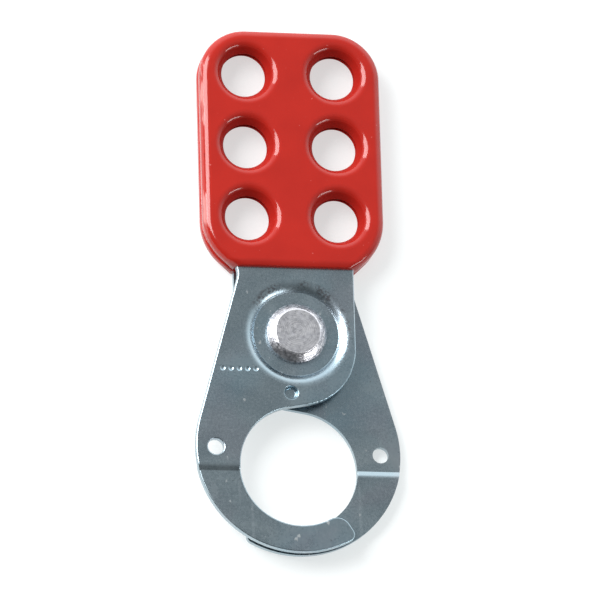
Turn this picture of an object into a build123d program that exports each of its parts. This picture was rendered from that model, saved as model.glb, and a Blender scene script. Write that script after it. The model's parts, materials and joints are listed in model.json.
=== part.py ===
from build123d import *
import math
import os

# Scissor-action lockout hasp, lying on its back. Two identical steel stampings, one turned over onto the
# other, swing on one solid rivet. Each stamping is a handle tab dipped in vinyl, a neck, and a curved jaw.
# Everything is drawn about the rivet axis at mid-thickness (X across, Y toward the handle, Z toward the
# viewer) and moved to the row's frame as the last step. All lengths are in millimetres.

# Driving dimensions: steel sheet
SHEET_T = 1.6
HANDLE_GAP = 2.5            # between the two tabs, room for a layer of vinyl on each
JAW_GAP = 1.4               # between the two jaws, after both have stepped inward
FLOOR_GAP = 0.1             # between the two recess floors round the rivet
EDGE_ROLL = 0.3             # rounded edge that the punch leaves on the outer face

# Driving dimensions: jaw
JAW_R = 12.7                # one-inch opening
JAW_Y = -28.65
ARM_R = 22.0                # outer outline, a circle on its own centre
ARM_Y = -24.95
TIP_ANGLE = 32.3            # end of the jaw past the bottom, about the outer circle's centre
TIP_OUTER_R = 1.6
TIP_INNER_R = 3.0
FLARE_ANGLE = 16.0          # straight outer flank, from the Y axis
STEP_Y = -28.9              # where the arm starts to step inward
STEP_RUN = 1.1
STEP_BEND_R = 1.8
STEP_CREASE_R = 0.4

# Driving dimensions: neck and pivot lobe
NECK_HALF = 12.4
NECK_FILLET = 4.0           # on the side that widens into the arm
LOBE_FILLET = 2.0           # on the lobe's side
LOBE_Y = -3.2
LOBE_R = NECK_HALF

# Driving dimensions: handle
COAT_T = 0.8
COAT_HALF = 19.25
COAT_TOP = 66.15
COAT_END = 14.0             # where the dipped vinyl stops
COAT_END_HALF = 13.1
FLANK_ANGLE = 43.0          # shoulder from the neck out to the full width, from the X axis
COAT_TOP_R = 10.0
COAT_SHOULDER_R = 12.0
COAT_FRONT_ROUND = 1.85
COAT_BACK_ROUND = 0.6
COAT_LIP_ROUND = 0.4
COAT_RUN_ON = 3.0

# Driving dimensions: holes
SHACKLE_X = 9.5
SHACKLE_Y0 = 25.35
SHACKLE_PITCH = 15.75
SHACKLE_ROWS = 3
SHACKLE_STEEL_R = 6.35
SHACKLE_R = 4.8             # throat through the vinyl, for shackles up to 9.5 mm
THROAT_END = 0.8            # the throat is straight this far from the middle of the stack
FUNNEL_ANGLE = 21.0         # from there the wall opens outward, from the hole's axis
RIM_ROUND = 2.0
RIM_BACK_ROUND = 0.2
ARM_HOLE_X = -17.8
ARM_HOLE_Y = -24.95
ARM_HOLE_R = 1.7

# Driving dimensions: dimple pushed partway through the sheet, with a low button behind it
DIMPLE_X = -1.6
DIMPLE_Y = -13.0
DIMPLE_R = 1.5
DIMPLE_FLOOR_R = 1.1
DIMPLE_DEPTH = 1.2
DIMPLE_ROUND = 0.2
BUTTON_R = 1.4
BUTTON_H = 0.8

# Driving dimensions: recess round the rivet, pressed toward the other plate
FLOOR_R = 9.05
LIP_R = 10.38
LIP_BEND_R = 3.2
FLOOR_CREASE_R = 0.15
RECESS_EDGE_R = 11.7        # past here the sheet is flat again

# Driving dimensions: rivet
SHANK_R = 4.0
PIVOT_CLEARANCE = 0.05      # on radius, in the plate that turns
HEAD_R = 6.35
HEAD_H = 2.25
HEAD_FLAT_R = 4.7
HEAD_WALL_H = 0.8
HEAD_BULGE = 0.05           # how far the crown of the head and tail stands out from a straight bevel
HEAD_CLEARANCE = 0.05
TAIL_R = 5.9
TAIL_FLAT_R = 4.3
TAIL_WALL_H = 0.6

# Punched row of dots on the outer face, where a maker would stamp a mark
DOT_COUNT = 5
DOT_X0 = -16.0
DOT_Y = -8.1
DOT_PITCH = 1.75
DOT_R = 0.55
DOT_DEPTH = 0.16

# Levels above the middle of the stack, for the front half
TAB_IN = HANDLE_GAP / 2
TAB_OUT = TAB_IN + SHEET_T
JAW_IN = JAW_GAP / 2
JAW_OUT = JAW_IN + SHEET_T
FLOOR_IN = FLOOR_GAP / 2
FLOOR_OUT = FLOOR_IN + SHEET_T
COAT_IN = TAB_IN - COAT_T
COAT_OUT = TAB_OUT + COAT_T
FUNNEL_TOP_R = SHACKLE_R + (COAT_OUT - THROAT_END) * math.tan(math.radians(FUNNEL_ANGLE))

# The row's origin is under the middle of the part, on the surface that it lies on
JAW_END_Y = ARM_Y - ARM_R
PIVOT_Y = -(COAT_TOP + JAW_END_Y) / 2
TO_ROW = Location((0, PIVOT_Y, COAT_OUT))
TURN_OVER = Location((0, 0, 0), (0, 180, 0))

BIG = 100.0                 # larger than the part, for cutters
FIND = 0.01                 # tolerance when picking edges and faces
STEEP = 0.9                 # Z part of the direction of an edge that runs through the sheet
SHACKLE_HOLES = [
    (side * SHACKLE_X, SHACKLE_Y0 + row * SHACKLE_PITCH)
    for row in range(SHACKLE_ROWS)
    for side in (-1, 1)
]


def on_circle(x, y, radius, degrees):
    """The point at an angle on a circle, with zero degrees along +X."""
    angle = math.radians(degrees)
    return (x + radius * math.cos(angle), y + radius * math.sin(angle))


def round_corners(sketch, corners):
    """Fillet a sketch's corners, each given in the sketch's own plane with its radius."""
    for (x, y), radius in corners:
        fillet(sketch.vertices().sort_by_distance((x, y, 0))[0], radius=radius)


def shoulder_point(inset, half_width):
    """Where the shoulder line, set in from the vinyl's, crosses a given half width."""
    angle = math.radians(FLANK_ANGLE)
    start_x = COAT_END_HALF - inset * math.sin(angle)
    start_y = COAT_END + inset * math.cos(angle)
    return (half_width, start_y + (half_width - start_x) * math.tan(angle))


def flare_meets_shoulder():
    """The concave corner at the neck, on the side that widens straight into the arm."""
    flare_x, flare_y = on_circle(0, ARM_Y, ARM_R, 180 - FLARE_ANGLE)
    flare = math.tan(math.radians(FLARE_ANGLE))
    shoulder = 1 / math.tan(math.radians(FLANK_ANGLE))
    base_x, base_y = shoulder_point(COAT_T, NECK_HALF)
    y = (-base_x + base_y * shoulder - flare_x + flare * flare_y) / (flare + shoulder)
    return (flare_x + (y - flare_y) * flare, y)


def tip_inner_point():
    """Where the jaw's end line, a radius of the outer circle, meets the jaw opening."""
    direction = math.radians(TIP_ANGLE - 90)
    offset = ARM_Y - JAW_Y
    b = offset * math.sin(direction)
    reach = -b + math.sqrt(b * b - offset * offset + JAW_R * JAW_R)
    return (reach * math.cos(direction), ARM_Y + reach * math.sin(direction))


def plate_outline():
    """Flat outline of one stamping, arm on the left: tab, neck, flare, jaw, and the lobe on the right."""
    tab_half = COAT_HALF - COAT_T
    tab_top = COAT_TOP - COAT_T
    right_low = shoulder_point(COAT_T, tab_half)
    left_low = (-right_low[0], right_low[1])
    right_neck = shoulder_point(COAT_T, NECK_HALF)
    left_neck = flare_meets_shoulder()
    flare_end = on_circle(0, ARM_Y, ARM_R, 180 - FLARE_ANGLE)
    jaw_end = on_circle(0, ARM_Y, ARM_R, TIP_ANGLE - 90)
    jaw_bottom = (0, JAW_END_Y)
    tip_inner = tip_inner_point()
    cross = math.degrees(math.asin((LOBE_R + JAW_R) / (LOBE_Y - JAW_Y)))
    jaw_top = on_circle(0, JAW_Y, JAW_R, 180 - cross)
    lobe_low = on_circle(0, LOBE_Y, LOBE_R, -cross)
    lobe_side = (NECK_HALF, LOBE_Y)
    jaw_left = (-JAW_R, JAW_Y)
    lobe_mid = on_circle(0, LOBE_Y, LOBE_R, -cross / 2)
    with BuildSketch() as outline:
        with BuildLine():
            Polyline(lobe_side, right_neck, right_low, (tab_half, tab_top))
            Polyline((tab_half, tab_top), (-tab_half, tab_top), left_low, left_neck, flare_end)
            ThreePointArc(flare_end, jaw_bottom, jaw_end)
            Line(jaw_end, tip_inner)
            ThreePointArc(tip_inner, jaw_left, jaw_top)
            Line(jaw_top, lobe_low)
            ThreePointArc(lobe_low, lobe_mid, lobe_side)
        make_face()
        round_corners(outline, [
            ((tab_half, tab_top), COAT_TOP_R - COAT_T),
            ((-tab_half, tab_top), COAT_TOP_R - COAT_T),
            (right_low, COAT_SHOULDER_R - COAT_T),
            (left_low, COAT_SHOULDER_R - COAT_T),
            (right_neck, LOBE_FILLET),
            (left_neck, NECK_FILLET),
            (jaw_end, TIP_OUTER_R),
            (tip_inner, TIP_INNER_R),
        ])
    return outline.sketch


def stepped_sheet():
    """The sheet seen from the side: flat, then a step inward across the arm, then flat again."""
    slope = math.atan2(TAB_OUT - JAW_OUT, STEP_RUN)
    shift = SHEET_T * math.tan(slope / 2)
    outer_top = (STEP_Y, TAB_OUT)
    outer_low = (STEP_Y - STEP_RUN, JAW_OUT)
    inner_top = (STEP_Y + shift, TAB_IN)
    inner_low = (STEP_Y - STEP_RUN + shift, JAW_IN)
    with BuildSketch(Plane.YZ) as side:
        with BuildLine():
            Polyline(
                (BIG, TAB_OUT), outer_top, outer_low, (-BIG, JAW_OUT),
                (-BIG, JAW_IN), inner_low, inner_top, (BIG, TAB_IN), close=True,
            )
        make_face()
        round_corners(side, [
            (outer_top, STEP_BEND_R),
            (outer_low, STEP_CREASE_R),
            (inner_top, STEP_CREASE_R),
            (inner_low, STEP_BEND_R),
        ])
    return extrude(side.sketch, amount=BIG, both=True)


def recess():
    """The round dish that the rivet head sits in, pressed toward the other plate."""
    slope = math.atan2(TAB_OUT - FLOOR_OUT, LIP_R - FLOOR_R)
    shift = SHEET_T * math.tan(slope / 2)
    lip = (LIP_R, TAB_OUT)
    floor = (FLOOR_R, FLOOR_OUT)
    under_floor = (FLOOR_R + shift, FLOOR_IN)
    under_lip = (LIP_R + shift, TAB_IN)
    with BuildSketch(Plane.XZ) as section:
        with BuildLine():
            Polyline(
                (0, FLOOR_OUT), floor, lip, (RECESS_EDGE_R, TAB_OUT),
                (RECESS_EDGE_R, TAB_IN), under_lip, under_floor, (0, FLOOR_IN), close=True,
            )
        make_face()
        round_corners(section, [
            (lip, LIP_BEND_R),
            (floor, FLOOR_CREASE_R),
            (under_floor, LIP_BEND_R),
            (under_lip, FLOOR_CREASE_R),
        ])
    return revolve(section.sketch, axis=Axis.Z)


def round_cutters(centres, radius):
    """Upright cylinders through the whole stack, one for each centre."""
    return [Pos(x, y, 0) * Cylinder(radius, BIG) for x, y in centres]


def punched_dots():
    """Shallow round dents in the outer face, in a row."""
    ball_r = (DOT_R * DOT_R + DOT_DEPTH * DOT_DEPTH) / (2 * DOT_DEPTH)
    return [
        Pos(DOT_X0 + i * DOT_PITCH, DOT_Y, TAB_OUT - DOT_DEPTH + ball_r) * Sphere(ball_r)
        for i in range(DOT_COUNT)
    ]


def half_pierced(plate):
    """Push the dimple partway through the sheet, which raises the button on the inner face."""
    centre = Pos(DIMPLE_X, DIMPLE_Y, 0)
    pocket = Pos(0, 0, TAB_OUT - DIMPLE_DEPTH / 2) * Cone(DIMPLE_FLOOR_R, DIMPLE_R, DIMPLE_DEPTH)
    pocket = fillet(pocket.edges().sort_by(Axis.Z)[0], radius=DIMPLE_ROUND)
    button = Pos(0, 0, TAB_IN - BUTTON_H / 2) * Cylinder(BUTTON_R, BUTTON_H)
    button = fillet(button.edges().sort_by(Axis.Z)[0], radius=DIMPLE_ROUND)
    plate = plate + centre * button - centre * pocket
    rim = [edge for edge in plate.edges() if is_circle(edge, DIMPLE_R)]
    return fillet(rim, radius=DIMPLE_ROUND)


def is_circle(edge, radius):
    """True for a round edge of the given radius."""
    return edge.geom_type == GeomType.CIRCLE and abs(edge.radius - radius) < FIND


def outer_edges(walls):
    """Edges where the outer face meets the given cut walls."""
    edges = []
    for wall in walls:
        middle = wall.center().Z
        edges += [edge for edge in wall.edges() if edge.center().Z > middle and not is_steep(edge)]
    return edges


def is_steep(edge):
    """True for the short edges that run straight through the sheet's thickness."""
    return abs(edge.tangent_at(0.5).Z) > STEEP


def steel_plate(pivot_hole_r):
    """One stamping, as the front half: stepped, dished, punched, its outer edges rounded by the punch."""
    flat_cut = extrude(plate_outline(), amount=BIG, both=True)
    dish_hole = Cylinder(RECESS_EDGE_R, BIG)
    plate = (stepped_sheet() - dish_hole + recess()) & flat_cut
    plate -= round_cutters([(ARM_HOLE_X, ARM_HOLE_Y)], ARM_HOLE_R)
    walls = [face for face in plate.faces() if abs(face.normal_at().Z) < FIND]
    plate = fillet(outer_edges(walls), radius=EDGE_ROLL)
    plate = half_pierced(plate)
    plate -= round_cutters(SHACKLE_HOLES, SHACKLE_STEEL_R)
    plate -= round_cutters([(0, 0)], pivot_hole_r)
    plate -= punched_dots()
    return plate


def vinyl_outline():
    """Outline of the dipped coat, its shoulders run on past the dip line so that they can be cut there."""
    shoulder = shoulder_point(0, COAT_HALF)
    run_on = shoulder_point(0, COAT_END_HALF - COAT_RUN_ON)
    with BuildSketch() as outline:
        with BuildLine():
            Polyline(
                (-run_on[0], run_on[1]), run_on, shoulder, (COAT_HALF, COAT_TOP),
                (-COAT_HALF, COAT_TOP), (-shoulder[0], shoulder[1]), close=True,
            )
        make_face()
        round_corners(outline, [
            (shoulder, COAT_SHOULDER_R),
            ((-shoulder[0], shoulder[1]), COAT_SHOULDER_R),
            ((COAT_HALF, COAT_TOP), COAT_TOP_R),
            ((-COAT_HALF, COAT_TOP), COAT_TOP_R),
        ])
    return outline.sketch


def edges_at(body, level):
    """A body's edges that lie at one level."""
    return [edge for edge in body.edges() if abs(edge.center().Z - level) < FIND]


def rounded_outline(coat, level, radius):
    """Fillet a coat's outline at one level, but not the end that is cut off at the dip line."""
    return fillet([edge for edge in edges_at(coat, level) if edge.center().Y > COAT_END], radius=radius)


def rounded_rims(coat, level, rim_r, radius):
    """Fillet the rims of a coat's holes at one level."""
    return fillet([edge for edge in edges_at(coat, level) if is_circle(edge, rim_r)], radius=radius)


def vinyl_coat(plate):
    """The sleeve dipped over one tab: it wraps the edges, lines the shackle holes and stops at the neck."""
    coat = Pos(0, 0, COAT_IN) * extrude(vinyl_outline(), amount=COAT_OUT - COAT_IN)
    coat = rounded_outline(coat, COAT_OUT, COAT_FRONT_ROUND)
    coat = rounded_outline(coat, COAT_IN, COAT_BACK_ROUND)
    coat -= Pos(0, COAT_END - BIG / 2, 0) * Box(BIG, BIG, BIG)
    end_face = coat.faces().sort_by(Axis.Y)[0]
    coat = fillet(end_face.edges(), radius=COAT_LIP_ROUND)
    coat -= round_cutters(SHACKLE_HOLES, SHACKLE_R)
    funnel_h = COAT_OUT - THROAT_END
    funnel = Pos(0, 0, THROAT_END + funnel_h / 2) * Cone(SHACKLE_R, FUNNEL_TOP_R, funnel_h)
    coat -= [Pos(x, y, 0) * funnel for x, y in SHACKLE_HOLES]
    coat = rounded_rims(coat, COAT_OUT, FUNNEL_TOP_R, RIM_ROUND)
    coat = rounded_rims(coat, COAT_IN, SHACKLE_R, RIM_BACK_ROUND)
    return coat - plate


def rivet():
    """Solid rivet: a turned head in the front recess, a shank, and a tail headed over at the back."""
    head_low = FLOOR_OUT + HEAD_CLEARANCE
    head_top = head_low + HEAD_H
    tail_low = -FLOOR_OUT
    tail_end = -COAT_OUT
    with BuildSketch(Plane.XZ) as section:
        with BuildLine():
            Polyline((0, tail_end), (0, head_top), (HEAD_FLAT_R, head_top))
            shoulder = (HEAD_R, head_low + HEAD_WALL_H)
            bulge = ((HEAD_FLAT_R + HEAD_R) / 2 + HEAD_BULGE, (head_top + shoulder[1]) / 2 + HEAD_BULGE)
            ThreePointArc((HEAD_FLAT_R, head_top), bulge, shoulder)
            Polyline(shoulder, (HEAD_R, head_low), (SHANK_R, head_low), (SHANK_R, tail_low))
            Polyline((SHANK_R, tail_low), (TAIL_R, tail_low), (TAIL_R, tail_low - TAIL_WALL_H))
            tail_bulge = (
                (TAIL_FLAT_R + TAIL_R) / 2 + HEAD_BULGE,
                (tail_end + tail_low - TAIL_WALL_H) / 2 - HEAD_BULGE,
            )
            ThreePointArc((TAIL_R, tail_low - TAIL_WALL_H), tail_bulge, (TAIL_FLAT_R, tail_end))
            Line((TAIL_FLAT_R, tail_end), (0, tail_end))
        make_face()
    return revolve(section.sketch, axis=Axis.Z)


front_plate = steel_plate(SHANK_R + PIVOT_CLEARANCE)
front_coat = vinyl_coat(front_plate)
rear_plate = TURN_OVER * steel_plate(SHANK_R)
rear_coat = TURN_OVER * vinyl_coat(front_plate)

nodes = {
    "front_plate": front_plate,
    "rear_plate": rear_plate,
    "front_handle_coat": front_coat,
    "rear_handle_coat": rear_coat,
    "pivot_rivet": rivet(),
}

if __name__ == "__main__":
    os.makedirs("parts", exist_ok=True)
    for name, shape in nodes.items():
        export_step(TO_ROW * shape, f"parts/{name}.step")
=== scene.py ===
import bpy
import json
import math
from mathutils import Matrix, Vector


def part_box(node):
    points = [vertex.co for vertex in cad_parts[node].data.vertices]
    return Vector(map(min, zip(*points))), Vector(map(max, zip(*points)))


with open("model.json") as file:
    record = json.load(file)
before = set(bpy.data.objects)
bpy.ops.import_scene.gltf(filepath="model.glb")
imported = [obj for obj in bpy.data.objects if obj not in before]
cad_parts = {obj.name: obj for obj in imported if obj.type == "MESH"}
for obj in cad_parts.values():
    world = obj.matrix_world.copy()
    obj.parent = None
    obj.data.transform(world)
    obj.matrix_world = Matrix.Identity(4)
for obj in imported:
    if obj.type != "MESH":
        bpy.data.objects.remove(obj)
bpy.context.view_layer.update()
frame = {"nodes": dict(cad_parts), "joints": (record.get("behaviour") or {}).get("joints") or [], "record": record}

MM = 0.001
PIVOT = Vector(frame["joints"][0]["pos_m"])     # rivet axis at the middle of the stack
SHACKLE_HOLES = [Vector(m["pos_m"]) for m in frame["record"]["mounts"] if m["kind"] == "bore"]

# Places on the sheet: the plating is crazed at the bend of the recess, mostly on one side of the rivet
BEND_INNER_R = 9.6 * MM
BEND_INNER_FADE = 0.5 * MM
BEND_OUTER_R = 11.0 * MM
BEND_OUTER_FADE = 0.8 * MM
CRAZED_SIDE = (0.6, 0.8, 0)
CRAZED_FROM = -3 * MM
CRAZED_FULL = 2 * MM

# Places on the rivet
RIVET_FACE_R = 4.7 * MM                         # flat end of the head
FACE_EDGE = 0.3 * MM
RING_PITCH = 0.42 * MM
RING_WOBBLE = 1.0 * MM

# Places on the vinyl
HOLE_DULL_SHADE_INNER_R = 5.5 * MM                          # dull, and darkened with painted shade, inside this radius of a shackle hole
HOLE_DULL_SHADE_OUTER_R = 6.0 * MM
COAT_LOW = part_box("front_handle_coat")[0]       # its left side, neck end and underside
LIP_RUN = 1.8 * MM                              # it thins over this length
LIP_DROP = 1.3 * MM
WORN_AND_HIGHLIGHT_EDGE = COAT_LOW + Vector((0.85, 0.0, 1.5)) * MM    # the front vinyl is scuffed pale past this, the pale partly a painted highlight on this lit edge
WORN_AND_HIGHLIGHT_FROM_X = -0.2 * MM
WORN_AND_HIGHLIGHT_FULL_X = 0.5 * MM
WORN_AND_HIGHLIGHT_FULL_Z = 0.6 * MM


# Camera: above the front face, a little to the left of the jaws, with a long lens

CAMERA_DISTANCE = 1.5
CAMERA_LEAN_X = 0.2042
CAMERA_LEAN_Y = 0.2975
CAMERA_ROLL = 0.0287
CAMERA_LENS = 438.55
CAMERA_SENSOR = 36.0
AIM_UP = 8.65 * MM
AIM_RIGHT = 0.07 * MM

FLOOR_SIZE = 8

# Studio brightness, with white paper at one
FLOOR_GLOW = 0.60
CEILING = 0.33
BRIGHT_SIDE = 1.7
DARK_SIDE = 0.10
JAW_SIDE_SHADE = 0.3        # share of the ceiling light left toward the jaw side
BACK_WALL = Vector((0.35, 0.93, 0.0))


def make_camera():
    back = Vector((-CAMERA_LEAN_X, -CAMERA_LEAN_Y, 1.0)).normalized()
    right = Vector((0, 1, 0)).cross(back).normalized()
    up = back.cross(right)
    turned_right = right * math.cos(CAMERA_ROLL) - up * math.sin(CAMERA_ROLL)
    turned_up = right * math.sin(CAMERA_ROLL) + up * math.cos(CAMERA_ROLL)
    place = PIVOT + back * CAMERA_DISTANCE
    target = PIVOT + turned_up * AIM_UP + turned_right * AIM_RIGHT
    z_axis = (place - target).normalized()
    x_axis = turned_up.cross(z_axis).normalized()
    y_axis = z_axis.cross(x_axis)
    turn = Matrix((x_axis, y_axis, z_axis)).transposed().to_4x4()
    data = bpy.data.cameras.new("camera")
    data.lens = CAMERA_LENS
    data.sensor_width = CAMERA_SENSOR
    data.clip_start = 0.01
    data.clip_end = 20
    camera = bpy.data.objects.new("camera", data)
    camera.matrix_world = Matrix.Translation(place) @ turn
    bpy.context.scene.collection.objects.link(camera)
    bpy.context.scene.camera = camera


# Shader helpers

class Shader:
    """A material's node tree with short calls to add and join nodes."""

    def __init__(self, name):
        self.material = bpy.data.materials.new(name)
        self.material.use_nodes = True
        self.nodes = self.material.node_tree.nodes
        self.links = self.material.node_tree.links
        self.nodes.clear()
        self.surface = self.add("ShaderNodeBsdfPrincipled")
        output = self.add("ShaderNodeOutputMaterial")
        self.links.new(self.surface.outputs[0], output.inputs["Surface"])
        self.place = self.add("ShaderNodeTexCoord").outputs["Object"]

    def add(self, kind, **settings):
        node = self.nodes.new(kind)
        for key, value in settings.items():
            setattr(node, key, value)
        return node

    def feed(self, socket, value):
        if isinstance(value, bpy.types.NodeSocket):
            self.links.new(value, socket)
        else:
            socket.default_value = value

    def math(self, operation, a, b=0.0, clamp=False):
        node = self.add("ShaderNodeMath", operation=operation, use_clamp=clamp)
        self.feed(node.inputs[0], a)
        self.feed(node.inputs[1], b)
        return node.outputs[0]

    def stretch(self, scale, turn=0.0, shift=(0, 0, 0)):
        node = self.add("ShaderNodeMapping")
        self.feed(node.inputs["Vector"], self.place)
        node.inputs["Location"].default_value = shift
        node.inputs["Rotation"].default_value = (0, 0, turn)
        node.inputs["Scale"].default_value = scale
        return node.outputs[0]

    def noise(self, scale, detail=3.0, rough=0.5, vector=None, warp=0.0, shift=None):
        node = self.add("ShaderNodeTexNoise")
        if shift is not None:
            vector = self.stretch((1, 1, 1), shift=shift)
        self.feed(node.inputs["Vector"], vector or self.place)
        node.inputs["Scale"].default_value = scale
        node.inputs["Detail"].default_value = detail
        node.inputs["Roughness"].default_value = rough
        node.inputs["Distortion"].default_value = warp
        return node.outputs["Fac"]

    def from_axis(self, point):
        """Distance from the upright line through a point."""
        offset = self.add("ShaderNodeVectorMath", operation="SUBTRACT")
        self.feed(offset.inputs[0], self.place)
        offset.inputs[1].default_value = point
        flat = self.add("ShaderNodeVectorMath", operation="MULTIPLY")
        self.feed(flat.inputs[0], offset.outputs[0])
        flat.inputs[1].default_value = (1, 1, 0)
        length = self.add("ShaderNodeVectorMath", operation="LENGTH")
        self.feed(length.inputs[0], flat.outputs[0])
        return length.outputs["Value"]

    def along(self, point, direction):
        """Distance past a point in a direction."""
        offset = self.add("ShaderNodeVectorMath", operation="SUBTRACT")
        self.feed(offset.inputs[0], self.place)
        offset.inputs[1].default_value = point
        dot = self.add("ShaderNodeVectorMath", operation="DOT_PRODUCT")
        self.feed(dot.inputs[0], offset.outputs[0])
        dot.inputs[1].default_value = direction
        return dot.outputs["Value"]

    def ramp(self, factor, stops):
        node = self.add("ShaderNodeValToRGB")
        self.feed(node.inputs[0], factor)
        while len(node.color_ramp.elements) < len(stops):
            node.color_ramp.elements.new(0.5)
        for element, (position, colour) in zip(node.color_ramp.elements, stops):
            element.position = position
            element.color = colour if len(colour) == 4 else (*colour, 1)
        return node.outputs[0]

    def band(self, factor, low, high, to_low=0.0, to_high=1.0):
        node = self.add("ShaderNodeMapRange", interpolation_type="SMOOTHSTEP")
        self.feed(node.inputs["Value"], factor)
        node.inputs["From Min"].default_value = low
        node.inputs["From Max"].default_value = high
        node.inputs["To Min"].default_value = to_low
        node.inputs["To Max"].default_value = to_high
        return node.outputs[0]

    def blend(self, factor, a, b, mode="MIX"):
        node = self.add("ShaderNodeMix", data_type="RGBA", blend_type=mode)
        self.feed(node.inputs[0], factor)
        self.feed(node.inputs[6], a if isinstance(a, bpy.types.NodeSocket) else (*a, 1))
        self.feed(node.inputs[7], b if isinstance(b, bpy.types.NodeSocket) else (*b, 1))
        return node.outputs[2]

    def bump(self, height, distance, strength=1.0, under=None):
        node = self.add("ShaderNodeBump")
        self.feed(node.inputs["Height"], height)
        node.inputs["Distance"].default_value = distance
        node.inputs["Strength"].default_value = strength
        if under is not None:
            self.feed(node.inputs["Normal"], under)
        return node.outputs[0]


def crazed_bend(s):
    """Where the plating is crazed: patches at the bend of the recess, on the handle side of the rivet."""
    radius = s.from_axis(PIVOT)
    past_inner = s.band(radius, BEND_INNER_R, BEND_INNER_R + BEND_INNER_FADE)
    within_outer = s.band(radius, BEND_OUTER_R, BEND_OUTER_R + BEND_OUTER_FADE, 1.0, 0.0)
    bend = s.math("MULTIPLY", past_inner, within_outer)
    patches = s.band(s.noise(150, 2, 0.5, shift=(0.05, 0.02, 0.4)), 0.42, 0.56)
    crazed = s.band(s.noise(1700, 4, 0.7, shift=(0.6, 0.1, 0.3)), 0.44, 0.56)
    handle_side = s.band(s.along(PIVOT, CRAZED_SIDE), CRAZED_FROM, CRAZED_FULL)
    patches = s.math("MULTIPLY", patches, handle_side)
    return s.math("MULTIPLY", bend, s.math("MULTIPLY", patches, crazed))


def zinc_steel():
    """Zinc-plated sheet: blue-grey and cloudy, with scratches, rolling lines, nicks, pits and crazing."""
    s = Shader("zinc_steel")
    cloud = s.noise(70, 4, 0.6, warp=0.6)
    tint = s.noise(45, 3, 0.5, warp=0.3)
    grain = s.noise(2600, 3, 0.6)
    lines = s.noise(600, 4, 0.65, s.stretch((1, 0.05, 1), turn=0.25))
    greys = [(0.3, (0.33, 0.42, 0.47)), (0.5, (0.37, 0.46, 0.505)), (0.7, (0.43, 0.505, 0.54))]
    colour = s.ramp(cloud, greys)
    colour = s.blend(s.band(tint, 0.4, 0.62), colour, s.blend(0.65, colour, (0.32, 0.46, 0.54)))
    haze = s.noise(60, 3, 0.5, warp=0.5, shift=(0.4, 0.7, 0.2))
    colour = s.blend(s.math("MULTIPLY", s.band(haze, 0.48, 0.66), 0.4), colour, (0.41, 0.43, 0.49))
    colour = s.blend(s.math("MULTIPLY", s.band(grain, 0.45, 0.7), 0.35), colour, (0.46, 0.53, 0.57))
    nicks = s.band(s.noise(620, 2, 0.5, s.stretch((1, 0.6, 1), turn=0.7)), 0.70, 0.76)
    long_marks = s.noise(420, 2, 0.5, s.stretch((1, 0.05, 1), turn=1.1, shift=(0.2, 0.6, 0.0)))
    scratches = s.band(long_marks, 0.69, 0.73)
    colour = s.blend(s.math("MULTIPLY", scratches, 0.2), colour, (0.70, 0.80, 0.85))
    pits = s.band(s.noise(900, 2, 0.5, shift=(0.3, 0.1, 0.2)), 0.72, 0.78)
    colour = s.blend(nicks, colour, (0.80, 0.86, 0.88))
    colour = s.blend(s.math("MULTIPLY", pits, 0.5), colour, (0.16, 0.18, 0.19))
    colour = s.blend(s.math("MULTIPLY", crazed_bend(s), 0.75), colour, (0.15, 0.14, 0.15))
    rough = s.band(cloud, 0.3, 0.7, 0.25, 0.31)
    rough = s.math("ADD", rough, s.band(grain, 0.3, 0.7, -0.03, 0.04))
    s.feed(s.surface.inputs["Base Color"], colour)
    s.feed(s.surface.inputs["Roughness"], rough)
    s.surface.inputs["Metallic"].default_value = 1.0
    under = s.bump(lines, 0.004 * MM, 0.5)
    under = s.bump(grain, 0.003 * MM, 0.5, under)
    s.feed(s.surface.inputs["Normal"], s.bump(nicks, 0.02 * MM, 0.6, under))
    return s.material


def rivet_steel():
    """Rivet: brighter than the sheet, with turned rings on its face and a scuffed, dented bevel."""
    s = Shader("rivet_steel")
    radius = s.from_axis(PIVOT)
    bevel = s.band(radius, RIVET_FACE_R, RIVET_FACE_R + FACE_EDGE)
    wobble = s.math("MULTIPLY", s.noise(260, 3, 0.6), RING_WOBBLE)
    rings = s.math("SINE", s.math("MULTIPLY", s.math("ADD", radius, wobble), math.tau / RING_PITCH))
    marks = s.math("MULTIPLY", s.band(rings, 0.0, 1.0), s.band(s.noise(520, 3, 0.6), 0.38, 0.58))
    cloud = s.noise(1500, 4, 0.6)
    colour = s.ramp(cloud, [(0.3, (0.72, 0.725, 0.775)), (0.7, (0.83, 0.83, 0.87))])
    colour = s.blend(s.math("MULTIPLY", marks, 0.9), colour, (1.0, 0.99, 1.0))
    scuffs = s.band(s.noise(1300, 4, 0.7, shift=(0.2, 0.5, 0.1)), 0.42, 0.60)
    scuffs = s.math("MULTIPLY", scuffs, s.math("MULTIPLY", bevel, 0.6))
    colour = s.blend(scuffs, colour, (0.14, 0.145, 0.17))
    grime = s.math("MULTIPLY", bevel, s.band(s.noise(800, 3, 0.6, shift=(0.7, 0.3, 0.9)), 0.45, 0.58))
    colour = s.blend(s.math("MULTIPLY", grime, 0.3), colour, (0.34, 0.35, 0.39))
    s.feed(s.surface.inputs["Base Color"], colour)
    s.feed(s.surface.inputs["Roughness"], s.band(cloud, 0.3, 0.7, 0.26, 0.38))
    s.surface.inputs["Metallic"].default_value = 1.0
    under = s.bump(rings, 0.006 * MM, 0.5)
    dents = s.math("MULTIPLY", s.noise(1100, 4, 0.6), s.math("ADD", 0.02, bevel))
    s.feed(s.surface.inputs["Normal"], s.bump(dents, 0.12 * MM, 0.8, under))
    return s.material


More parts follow.
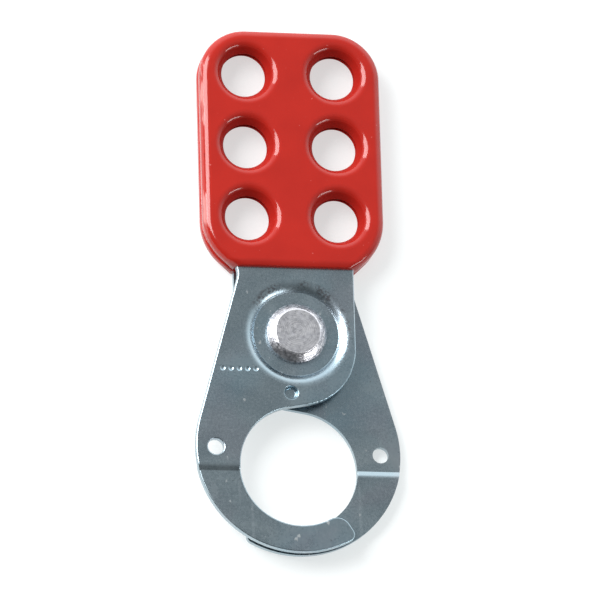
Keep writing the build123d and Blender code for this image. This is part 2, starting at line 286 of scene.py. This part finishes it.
def red_vinyl():
    """Dipped vinyl: glossy red with dust, dull and darkened with painted shade in the shackle holes, scuffed pale
    and cracked at one edge, where the pale scuffs also paint a broader highlight.
    """
    s = Shader("red_vinyl")
    cloud = s.noise(120, 4, 0.55)
    fine = s.noise(1600, 3, 0.6)
    colour = s.ramp(cloud, [(0.3, (0.365, 0.0145, 0.0086)), (0.7, (0.410, 0.0172, 0.0100))])
    specks = s.band(s.noise(1500, 1, 0.5), 0.76, 0.82)
    colour = s.blend(s.math("MULTIPLY", specks, 0.4), colour, (0.8, 0.3, 0.28))
    radius = s.from_axis(SHACKLE_HOLES[0])
    for hole in SHACKLE_HOLES[1:]:
        radius = s.math("MINIMUM", radius, s.from_axis(hole))
    dull_and_shaded = s.band(radius, HOLE_DULL_SHADE_INNER_R, HOLE_DULL_SHADE_OUTER_R, 1.0, 0.0)
    # painted shade: the colour is darkened inside the shackle holes, and the same mask also makes them dull
    colour = s.blend(s.math("MULTIPLY", dull_and_shaded, 0.6), colour, (0.31, 0.011, 0.007))
    outward = s.band(s.along(WORN_AND_HIGHLIGHT_EDGE, (-1, 0, 0)), WORN_AND_HIGHLIGHT_FROM_X, WORN_AND_HIGHLIGHT_FULL_X)
    upward = s.band(s.along(WORN_AND_HIGHLIGHT_EDGE, (0, 0, 1)), 0.0, WORN_AND_HIGHLIGHT_FULL_Z)
    edge = s.math("MULTIPLY", outward, upward)
    streaks = s.band(s.noise(420, 4, 0.65, s.stretch((1, 0.22, 1))), 0.49, 0.57)
    worn_and_highlight = s.math("MULTIPLY", edge, streaks)
    # pale scuffs on the left edge, partly wear and partly a painted highlight that widens the key light's streak
    colour = s.blend(s.math("MULTIPLY", worn_and_highlight, 0.35), colour, (0.85, 0.50, 0.47))
    splits = s.noise(700, 5, 0.7, s.stretch((1, 0.3, 1), turn=0.3))
    cracks = s.math("MULTIPLY", edge, s.band(splits, 0.60, 0.64))
    colour = s.blend(s.math("MULTIPLY", cracks, 0.6), colour, (0.10, 0.004, 0.003))
    s.feed(s.surface.inputs["Base Color"], colour)
    gloss = s.band(fine, 0.3, 0.7, 0.08, 0.16)
    s.feed(s.surface.inputs["Roughness"], s.math("ADD", gloss, s.math("MULTIPLY", dull_and_shaded, 0.45)))
    shine = s.math("SUBTRACT", 0.5, s.math("MULTIPLY", dull_and_shaded, 0.47))
    s.feed(s.surface.inputs["Specular IOR Level"], shine)
    lip = s.along(COAT_LOW, (0, 1, 0))
    under = s.bump(s.band(lip, -LIP_RUN, LIP_RUN), LIP_DROP)
    under = s.bump(cloud, 0.03 * MM, 0.4, under)
    under = s.bump(fine, 0.002 * MM, 0.5, under)
    s.feed(s.surface.inputs["Normal"], s.bump(worn_and_highlight, 0.06 * MM, 0.6, under))
    return s.material


def floor_paper():
    """White paper on a light table: it glows a little, so shadows on it stay pale."""
    s = Shader("floor_paper")
    grain = s.noise(900, 3, 0.6)
    colour = s.ramp(grain, [(0.2, (0.41, 0.42, 0.42)), (0.8, (0.43, 0.44, 0.44))])
    s.feed(s.surface.inputs["Base Color"], colour)
    s.surface.inputs["Roughness"].default_value = 0.9
    s.surface.inputs["Specular IOR Level"].default_value = 0.1
    s.surface.inputs["Emission Color"].default_value = (0.97, 1, 1, 1)
    s.surface.inputs["Emission Strength"].default_value = FLOOR_GLOW
    return s.material


def make_floor():
    bpy.ops.mesh.primitive_plane_add(size=FLOOR_SIZE, location=(0, 0, 0))
    floor = bpy.context.object
    floor.name = "floor"
    floor.data.materials.append(floor_paper())


def sky_direction(azimuth, elevation):
    """Unit vector toward a point of the studio, azimuth from +X toward +Y, both in degrees."""
    a, e = math.radians(azimuth), math.radians(elevation)
    return Vector((math.cos(e) * math.cos(a), math.cos(e) * math.sin(a), math.sin(e)))


def softbox(name, azimuth, elevation, wide, tall, radiance, distance=1.2):
    """A rectangular light that faces the rivet and covers the given angles, in degrees."""
    place = sky_direction(azimuth, elevation) * distance
    data = bpy.data.lights.new(name, "AREA")
    data.shape = "RECTANGLE"
    data.size = 2 * distance * math.tan(math.radians(wide / 2))
    data.size_y = 2 * distance * math.tan(math.radians(tall / 2))
    data.energy = radiance * math.pi * data.size * data.size_y
    light = bpy.data.objects.new(name, data)
    light.location = PIVOT + place
    light.rotation_mode = "QUATERNION"
    light.rotation_quaternion = (-place).to_track_quat("-Z", "Y")
    bpy.context.scene.collection.objects.link(light)


def make_world():
    """Dim ceiling, a bright wall beyond the handle and a dark one on the jaw side."""
    world = bpy.data.worlds.new("studio")
    world.use_nodes = True
    bpy.context.scene.world = world
    nodes, links = world.node_tree.nodes, world.node_tree.links
    background = nodes["Background"]
    coords = nodes.new("ShaderNodeTexCoord")

    def along(direction, low, high, to_low, to_high):
        dot = nodes.new("ShaderNodeVectorMath")
        dot.operation = "DOT_PRODUCT"
        links.new(coords.outputs["Generated"], dot.inputs[0])
        dot.inputs[1].default_value = direction
        step = nodes.new("ShaderNodeMapRange")
        step.interpolation_type = "SMOOTHSTEP"
        links.new(dot.outputs["Value"], step.inputs["Value"])
        limits = {"From Min": low, "From Max": high, "To Min": to_low, "To Max": to_high}
        for key, value in limits.items():
            step.inputs[key].default_value = value
        return step.outputs[0]

    def combine(operation, a, b):
        node = nodes.new("ShaderNodeMath")
        node.operation = operation
        links.new(a, node.inputs[0])
        links.new(b, node.inputs[1])
        return node.outputs[0]

    wall = along(BACK_WALL, -0.25, 0.85, DARK_SIDE, BRIGHT_SIDE)
    low_part = along((0, 0, 1), 0.42, 0.92, 1, 0)
    ceiling = along((0, 0, 1), 0.35, 0.85, 0, CEILING)
    jaw_side = along((0, 1, 0), -0.75, -0.1, JAW_SIDE_SHADE, 1)
    glow = combine("ADD", combine("MULTIPLY", wall, low_part), combine("MULTIPLY", ceiling, jaw_side))
    links.new(glow, background.inputs["Strength"])
    background.inputs["Color"].default_value = (0.96, 0.985, 1.0, 1)


def set_material(node, material):
    mesh = frame["nodes"][node].data
    mesh.materials.clear()
    mesh.materials.append(material)


make_camera()
make_world()
make_floor()
softbox("key_softbox", azimuth=153, elevation=38.5, wide=40, tall=43, radiance=9.0)
softbox("fill_softbox", azimuth=-40, elevation=22, wide=34, tall=14, radiance=6.0)

steel = zinc_steel()
vinyl = red_vinyl()
set_material("front_plate", steel)
set_material("rear_plate", steel)
set_material("front_handle_coat", vinyl)
set_material("rear_handle_coat", vinyl)
set_material("pivot_rivet", rivet_steel())

bpy.context.scene.view_settings.view_transform = "Standard"
